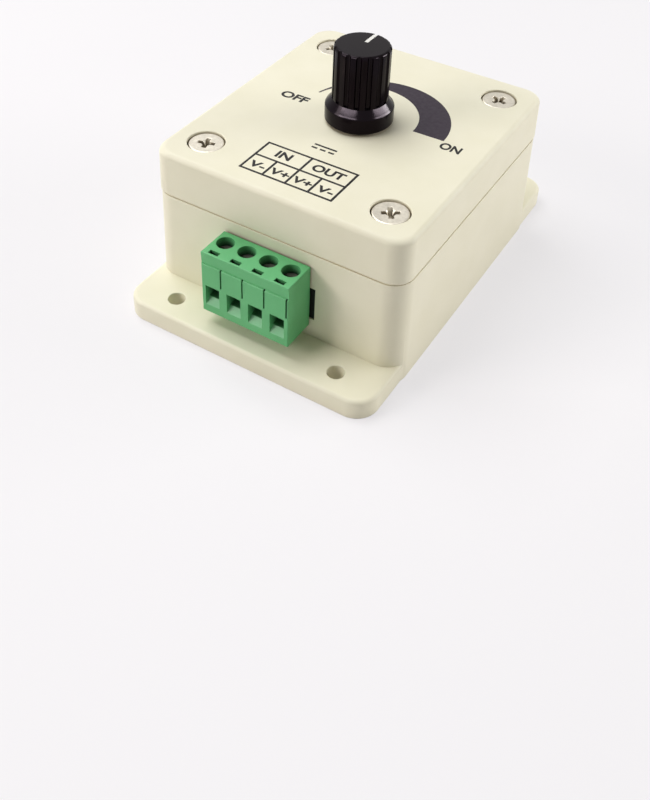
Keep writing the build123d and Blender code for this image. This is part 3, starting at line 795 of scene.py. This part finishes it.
def make_cover_screws():
    """Pan-head screws with a cross recess, turned once and set down in the four corners."""
    top = screws_high.z
    under = top - screw_head_height
    tip = screws_low.z
    core, head = screw_core_diameter / 2, screw_head_diameter / 2
    rings = [(core / 2, tip), (core, tip + screw_tip_length), (core, under), (head, under)]
    rings += quarter_round(head, top, screw_head_dome)
    screw = turned("cover_screw", rings)
    depths = (top - cross_depth, top + cross_depth / 2)
    cone = [(cross_width / 4, top - cross_depth), (cross_width, top + cross_cone_rise)]
    cut(screw, tapered_slot(around(0, cross_length), around(0, cross_width), depths, cross_foot_share),
        tapered_slot(around(0, cross_width), around(0, cross_length), depths, cross_foot_share),
        turned("cross_middle", cone, sides=32))

    def recess_edge(point):
        return math.hypot(point.x, point.y) < head - screw_head_dome and point.z > top - rim_tolerance

    soften(screw, cross_edge_radius, recess_edge, fine_edge_steps)
    smooth(screw)
    for number, (place, turn) in enumerate(zip(screw_places, screw_turns), start=1):
        dress(copy_of(screw, f"cover_screw_{number}", *place, turn), screw_nickel, "case",
              "screw_steel", "cover_screws")
    bpy.data.objects.remove(screw)


# Knob

def make_knob():
    """The knob: a turned skirt and barrel, hollow below, with flutes and a painted pointer."""
    skirt, barrel = knob_high.x, knob_barrel_diameter / 2
    shoulder = knob_low.z + knob_skirt_height
    barrel_foot = shoulder + knob_bevel_height
    bore_top = shaft_top + knob_bore_room
    bushing_top = case_height + knob_bushing_pocket_rise
    nut_top = case_height + knob_nut_pocket_rise
    inside = [(knob_bore_diameter, bore_top), (knob_bore_diameter, bushing_top),
              (knob_bushing_pocket_diameter, bushing_top), (knob_bushing_pocket_diameter, nut_top),
              (knob_nut_pocket_diameter, nut_top), (knob_nut_pocket_diameter, knob_low.z)]
    rings = [(diameter / 2, height) for diameter, height in inside]
    rings += [(skirt - knob_skirt_radius, knob_low.z), (skirt, knob_low.z + knob_skirt_radius),
              (skirt, shoulder - knob_skirt_radius)]
    rings += [(skirt - inset, shoulder + rise) for inset, rise in knob_shoulder_points]
    rings += [(barrel, barrel_foot)]
    rings += quarter_round(barrel, knob_high.z, knob_top_radius)
    knob = turned("knob_moulding", rings, sides=192)
    add(knob, block(around(0, knob_bore_diameter),
                    (knob_flat_place, knob_bore_diameter / 2 + knob_flat_overlap),
                    (bore_top - knob_flat_length, bore_top + knob_flat_overlap)))
    flute_circle = barrel + knob_flute_radius - knob_flute_depth
    flutes = []
    for flute in range(knob_flute_count):
        angle = 2 * math.pi * flute / knob_flute_count
        x, y = flute_circle * math.cos(angle), flute_circle * math.sin(angle)
        flutes.append(rod(2 * knob_flute_radius, barrel_foot, knob_high.z + cut_past, x, y, sides=40))
    cut(knob, together(flutes))
    line_low = knob_high.z - knob_pointer_depth
    cut(knob, block(around(0, knob_pointer_width), (knob_pointer_start, skirt + cut_past),
                    (line_low, knob_high.z + cut_past)))
    smooth(knob, knob_smooth_angle)
    dress(knob, black_plastic, "knob", "knob_plastic", "dimmer_knob")
    line_end = barrel - knob_flute_depth - knob_pointer_end_gap
    line = block(around(0, knob_pointer_width), (knob_pointer_start, line_end),
                 (line_low, line_low + knob_pointer_paint))
    line.name = "knob_pointer"
    soften(line, knob_pointer_edge_radius, lambda point: point.z > line_low + face_tolerance,
           fine_edge_steps)
    smooth(line)
    dress(line, pointer_white, "knob", "knob_plastic")


# Terminal

def wire_entry(x):
    """The opening for one wire, with a sill that slopes down to the front."""
    low = plug_low.z + entry_rise
    front, back = plug_low.y - entry_lip_depth, clamp_row - pocket_length / 2
    entry = block(around(x, entry_width), (front, back), (low, low + entry_height))
    open_mesh(entry, "FACE")
    bpy.ops.mesh.select_all(action="SELECT")
    bpy.ops.mesh.bisect(plane_co=(0, MM * (plug_low.y + entry_lip_depth), 0), plane_no=(0, 1, 0))
    bpy.ops.mesh.select_all(action="DESELECT")
    mesh = bmesh.from_edit_mesh(entry.data)
    for vert in mesh.verts:
        if vert.co.y < MM * plug_low.y and vert.co.z < MM * (low + entry_height / 2):
            vert.select_set(True)
    mesh.select_flush(True)
    bmesh.update_edit_mesh(entry.data)
    bpy.ops.transform.translate(value=(0, 0, -2 * MM * entry_lip_drop))
    close_mesh()
    return entry


def make_plug():
    """The green plug: a tall block with a stepped brow, wire entries, screw wells and a nose behind."""
    brow_foot = plug_high.z - plug_brow_height
    plug = block((plug_low.x, plug_high.x), (plug_low.y, plug_back), (plug_low.z, plug_high.z))
    plug.name = "plug_moulding"
    above = plug_high.z + cut_past
    before = plug_low.y - cut_past
    cut(plug, block((plug_low.x - cut_past, plug_high.x + cut_past),
                    (before, plug_low.y + plug_brow_step), (brow_foot, above)))
    brow_middle = brow_foot + plug_brow_height / 2
    mesh = open_mesh(plug, "VERT")
    for vert in mesh.verts:
        if vert.co.z > MM * brow_middle and vert.co.y < MM * (plug_low.y + plug_depth / 2):
            vert.select_set(True)
    bmesh.update_edit_mesh(plug.data)
    bpy.ops.transform.translate(value=(0, MM * (plug_brow_setback - plug_brow_step), 0))
    close_mesh()

    def outer_edge(point):
        under_brow = abs(point.z - brow_foot) < face_tolerance
        return not (under_brow and point.y > plug_low.y + plug_brow_step / 2)

    soften(plug, plug_edge_radius, outer_edge, sharper_than=plug_edge_angle)
    nose_low = plug_low.z + nose_rise
    add(plug, block((plug_low.x + nose_side_step, plug_high.x - nose_side_step),
                    ((plug_low.y + plug_back) / 2, plug_high.y), (nose_low, nose_low + nose_height)))
    entry_low = plug_low.z + entry_rise
    entry_top = entry_low + entry_height
    seat = clamp_high.z - clamp_head_height
    slot_front = plug_low.y + plug_brow_setback + test_slot_setback
    slit_low = plug_low.z + slit_rise
    passage_low = entry_top + pocket_rise - clamp_passage_overlap
    rows = [
        lambda x: block(around(x, pocket_width), around(clamp_row, pocket_length),
                        (entry_low - pocket_drop, entry_top + pocket_rise)),
        lambda x: block(around(x, channel_width), (clamp_row, plug_high.y + cut_past),
                        (entry_low + channel_lift, entry_top + channel_rise)),
        wire_entry,
        lambda x: rod(clamp_passage_diameter, passage_low, above, x, clamp_row, sides=48),
        lambda x: rod(screw_well_diameter, seat, above, x, clamp_row),
        lambda x: block(around(x, test_slot_width), (slot_front, slot_front + test_slot_length),
                        (plug_high.z - test_slot_depth, above)),
        lambda x: block(around(x + slit_offset, slit_width), (before, plug_low.y + slit_depth),
                        (slit_low, slit_low + slit_height)),
    ]
    for row in rows:
        cut(plug, together([row(x) for x in pole_places]))

    def well_rim(point):
        reach = min(math.hypot(point.x - x, point.y - clamp_row) for x in pole_places)
        on_top = point.z > plug_high.z - face_tolerance
        return on_top and reach < screw_well_diameter / 2 + rim_tolerance

    soften(plug, screw_well_rim, well_rim, fine_edge_steps)
    smooth(plug)
    dress(plug, green_plastic, "plug", "terminal_plastic", "terminal_plug")


def make_collar():
    """The black mouth of the header, which fills the cut-out round the plug's nose."""
    nose_low = plug_low.z + nose_rise
    nose_top = nose_low + nose_height
    front = lean(nose_top + cutout_rise) - body_length / 2 + collar_gap
    nose_width = plug_high.x - plug_low.x - 2 * nose_side_step
    collar = block(around(plug_middle, cutout_width - 2 * collar_gap), (front, header_front),
                   (nose_low - cutout_drop + collar_gap, nose_top + cutout_rise - collar_gap))
    collar.name = "header_collar"
    cut(collar, block(around(plug_middle, nose_width + 2 * nose_clearance),
                      (front - cut_past, header_front + cut_past),
                      (nose_low - nose_clearance, nose_top + nose_clearance)))
    soften(collar, collar_gap, lambda point: point.y < front + face_tolerance, fine_edge_steps)
    smooth(collar)
    dress(collar, header_black, "case", "header_plastic")


def make_clamp_screws():
    """Slotted clamp screws, one in each well."""
    core, head = clamp_screw_diameter / 2, (clamp_high.x - clamp_low.x) / 2
    seat = clamp_high.z - clamp_head_height
    rings = [(core - clamp_tip_chamfer, clamp_low.z), (core, clamp_low.z + clamp_tip_chamfer),
             (core, seat), (head, seat)]
    rings += quarter_round(head, clamp_high.z, clamp_head_dome, clamp_dome_steps)
    screw = turned("clamp_screw", rings, sides=64)
    cut(screw, block(around(0, 3 * head), around(0, clamp_slot_width),
                     (clamp_high.z - clamp_slot_depth, clamp_high.z + cut_past)))
    smooth(screw)
    for number, x in enumerate(pole_places, start=1):
        dress(copy_of(screw, f"clamp_screw_head_{number}", x, clamp_row), clamp_steel,
              f"screw_{number}", "screw_steel", f"clamp_screw_{number}")
    bpy.data.objects.remove(screw)


# Printed legends

def print_on_cover(piece, x_span, y_span, finish):
    """Fits a flat legend between limits on the cover's top and gives it the thickness of ink."""
    take(piece)
    bpy.ops.object.transform_apply(location=True, rotation=True, scale=True)
    low = [min(vert.co[axis] for vert in piece.data.vertices) for axis in range(3)]
    high = [max(vert.co[axis] for vert in piece.data.vertices) for axis in range(3)]
    wanted = (x_span, y_span, ink_heights)
    factors = [MM * (pair[1] - pair[0]) / (high[axis] - low[axis]) for axis, pair in enumerate(wanted)]
    piece.data.transform(Matrix.Translation([MM * pair[0] for pair in wanted])
                         @ Matrix.Diagonal((*factors, 1))
                         @ Matrix.Translation([-value for value in low]))
    dress(piece, finish, "case", "knob_plastic")


def lettering(name, words, x_span, y_span):
    """Plain capitals, printed between limits on the cover."""
    bpy.ops.object.select_all(action="DESELECT")
    bpy.ops.object.text_add()
    text = bpy.context.active_object
    text.name = name
    text.data.body = words
    text.data.extrude = letter_thickness
    text.data.offset = letter_boldness
    bpy.ops.object.convert(target="MESH")
    piece = bpy.context.active_object
    piece.name = name
    print_on_cover(piece, x_span, y_span, legend_black)


def make_table():
    """The ruled box over the terminal, with two headings and four pole marks."""
    left, right = table_x
    front, rear = table_y
    half = table_line / 2
    quarter = (right - left) / pole_count
    table = block((left - half, right + half), (front - half, rear + half), ink_heights)
    table.name = "legend_table"
    through = (ink_heights[0] - cut_past, ink_heights[1] + cut_past)
    cells = [block((left + half + 2 * column * quarter, left - half + 2 * (column + 1) * quarter),
                   (table_row + half, rear - half), through) for column in range(pole_count // 2)]
    cells += [block((left + half + column * quarter, left - half + (column + 1) * quarter),
                    (front + half, table_row - half), through) for column in range(pole_count)]
    cut(table, together(cells))
    dress(table, legend_black, "case", "knob_plastic")
    lettering("legend_in", "IN", around(left + quarter, in_width), heading_y)
    lettering("legend_out", "OUT", around(right - quarter, out_width), heading_y)
    for column, mark in enumerate(pole_marks):
        x_span = around(left + (column + 0.5) * quarter, pole_mark_widths[mark])
        lettering(f"legend_pole_{column + 1}", "V" + mark, x_span, pole_mark_y)


def make_crescent():
    """The tapered arc from OFF to ON round the knob, widening as the light brightens."""
    def between(pair, share):
        return pair[0] + (pair[1] - pair[0]) * share

    bpy.ops.object.select_all(action="DESELECT")
    bpy.ops.mesh.primitive_grid_add(x_subdivisions=crescent_steps, y_subdivisions=1, size=1)
    crescent = settle("legend_crescent")
    for vert in crescent.data.vertices:
        along, outer = vert.co.x + 0.5, vert.co.y > 0
        angle = between(crescent_angles, along)
        reach = between(crescent_inner_radii, along)
        if outer:
            reach += between(crescent_widths, math.sin(math.pi / 2 * along) ** crescent_swell)
        vert.co = (MM * (crescent_middle.x + reach * math.cos(angle)),
                   MM * (crescent_middle.y + reach * math.sin(angle)), MM * ink_heights[0])
    raise_sheet(crescent, ink_sink + ink_thickness)
    dress(crescent, legend_grey, "case", "knob_plastic")


def make_current_mark():
    """The plain sign for direct current: a bar over three dashes."""
    strokes = [block(around(0, current_bar_length), around(current_bar_y, current_stroke), ink_heights)]
    for x in (-current_dash_pitch, 0, current_dash_pitch):
        strokes.append(block(around(x, current_dash_length), around(current_dash_y, current_stroke),
                             ink_heights))
    mark = together(strokes)
    mark.name = "legend_current"
    dress(mark, legend_black, "case", "knob_plastic")


def make_legends():
    """All that is printed on the cover."""
    make_table()
    make_current_mark()
    make_crescent()
    lettering("legend_off", "OFF", off_x, off_y)
    lettering("legend_on", "ON", on_x, on_y)


# Pieces that keep their shape from the frame
node_finishes = {
    "terminal_header": header_black, "header_pins": tinned, "plug_contacts": brass,
    "circuit_board": board_green, "board_screws": screw_nickel,
    "pot_bushing": pot_zinc, "pot_wafer": wafer_brown, "pot_can": pot_zinc, "pot_shaft": pot_zinc,
    "pot_rotor": chip_black, "pot_wiper": brass, "pot_lugs": tinned, "pot_leads": lead_red,
    "pot_nut": pot_zinc, "pot_washer": pot_zinc, "timer_chip": chip_black, "timer_chip_legs": tinned,
    "supply_capacitor": sleeve_blue, "timing_capacitor": film_yellow, "steering_diodes": chip_black,
    "resistors": resistor_tan, "transistor_body": chip_black, "transistor_tab": tinned,
    "transistor_legs": tinned,
}
node_finishes.update({f"clamp_cage_{number}": tinned for number in range(1, pole_count + 1)})


def finish_nodes():
    """Gives the pieces of the frame their finishes."""
    for node, finish in node_finishes.items():
        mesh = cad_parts[node].data
        mesh.materials.clear()
        mesh.materials.append(finish)


# Stage

def seen(nodes, links, otherwise):
    """A level that is 1 to the camera and in reflections, and another one for all other light."""
    path = nodes.new("ShaderNodeLightPath")
    level = None
    for ray in ("Is Camera Ray", "Is Glossy Ray", "Is Transmission Ray"):
        larger = nodes.new("ShaderNodeMath")
        larger.operation = "MAXIMUM"
        larger.inputs[1].default_value = otherwise
        links.new(path.outputs[ray], larger.inputs[0])
        if level:
            links.new(level, larger.inputs[1])
        level = larger.outputs["Value"]
    return level


def make_floor():
    """A pale seamless floor, largely plain white to the eye, that keeps the object's soft shadow."""
    bpy.ops.object.select_all(action="DESELECT")
    bpy.ops.mesh.primitive_plane_add(size=MM * floor_width, location=(0, 0, 0))
    floor = settle("floor")
    finish = Finish("pale_floor")
    finish.colours(finish.noise(floor_cloud_size), paint(239, 236, 235), paint(242, 239, 238))
    finish.set(Roughness=0.9, Specular_IOR_Level=0.1)
    white = finish.nodes.new("ShaderNodeEmission")
    white.inputs["Color"].default_value = paint(249, 248, 252)
    blend = finish.nodes.new("ShaderNodeMixShader")
    share = finish.nodes.new("ShaderNodeMath")
    share.operation = "MULTIPLY"
    share.inputs[1].default_value = floor_white_share
    finish.links.new(seen(finish.nodes, finish.links, 0.0), share.inputs[0])
    finish.links.new(share.outputs["Value"], blend.inputs["Fac"])
    finish.links.new(finish.shader.outputs["BSDF"], blend.inputs[1])
    finish.links.new(white.outputs["Emission"], blend.inputs[2])
    finish.links.new(blend.outputs["Shader"], finish.nodes["Material Output"].inputs["Surface"])
    floor.data.materials.append(finish.material)


def soft_light(name, place, target, sizes, power, colour=(1.0, 1.0, 1.0), roll=0):
    """A soft lamp of a width, height and colour that looks at a target, rolled about its aim."""
    lamp = bpy.data.lights.new(name, "AREA")
    lamp.shape = "RECTANGLE"
    lamp.size, lamp.size_y = (MM * size for size in sizes)
    lamp.energy = power
    lamp.color = colour
    holder = bpy.data.objects.new(name, lamp)
    bpy.context.scene.collection.objects.link(holder)
    holder.location = [MM * value for value in place]
    direction = Vector(target) - Vector(place)
    holder.rotation_mode = "QUATERNION"
    holder.rotation_quaternion = (direction.to_track_quat("-Z", "Y")
                                  @ Quaternion((0, 0, 1), math.radians(roll)))
    return holder


def make_lights():
    """Faint light from all round, a lamp overhead, one at each side and two strips for the highlights.

    The strips light nothing: they only show as highlights, on the knob and the plug.
    """
    world = bpy.data.worlds.new("studio")
    bpy.context.scene.world = world
    world.use_nodes = True
    nodes, links = world.node_tree.nodes, world.node_tree.links
    background = nodes["Background"]
    background.inputs["Color"].default_value = sky_colour
    links.new(seen(nodes, links, sky_level), background.inputs["Strength"])
    soft_light("key", place=(-320, 40, 660), target=(0, 0, 15), sizes=(520, 520), power=4.05)
    soft_light("left", place=(-413, -459, 349), target=(0, 0, 20), sizes=(330, 220), power=2.05,
               colour=(1.0, 0.95, 0.92))
    soft_light("right", place=(540, 380, 220), target=(0, 0, 20), sizes=(480, 180), power=2.8,
               colour=(1.0, 0.98, 0.955))
    strips = [soft_light("front_strip", place=(-138, -524, 484), target=(0, 0, 41), sizes=(650, 110),
                         power=5.2, roll=14),
              soft_light("right_strip", place=(560, 298, 337), target=(0, 0, 41), sizes=(760, 110),
                         power=7.0, roll=-25)]
    shiny = bpy.data.collections.new("shiny_pieces")
    for name in ("knob_moulding", "plug_moulding"):
        shiny.objects.link(bpy.data.objects[name])
    for strip in strips:
        strip.visible_diffuse = False
        strip.light_linking.receiver_collection = shiny


def make_camera():
    """The photograph's view: where it stands, how it rolls and how far its frame is shifted."""
    camera = bpy.data.cameras.new("camera")
    camera.lens = focal_pixels / frame_height_pixels * camera.sensor_width
    camera.shift_y = camera_shift
    holder = bpy.data.objects.new("camera", camera)
    bpy.context.scene.collection.objects.link(holder)
    back = Vector((math.sin(camera_azimuth) * math.cos(camera_elevation),
                   -math.cos(camera_azimuth) * math.cos(camera_elevation),
                   math.sin(camera_elevation)))
    right = (-back).cross(Vector((0, 0, 1))).normalized()
    up = back.cross(right)
    turn = Matrix.Rotation(camera_roll, 3, back)
    right, up = turn @ right, turn @ up
    place = MM * (back * camera_distance + right * camera_side + up * camera_rise)
    holder.matrix_world = Matrix.Translation(place) @ Matrix((right, up, back)).transposed().to_4x4()
    camera.clip_start, camera.clip_end = (MM * distance for distance in camera_clip)
    bpy.context.scene.camera = holder


make_base()
make_cover()
make_cover_screws()
make_knob()
make_plug()
make_collar()
make_clamp_screws()
make_legends()
finish_nodes()
make_floor()
make_lights()
make_camera()
bpy.context.scene.view_settings.view_transform = "Standard"
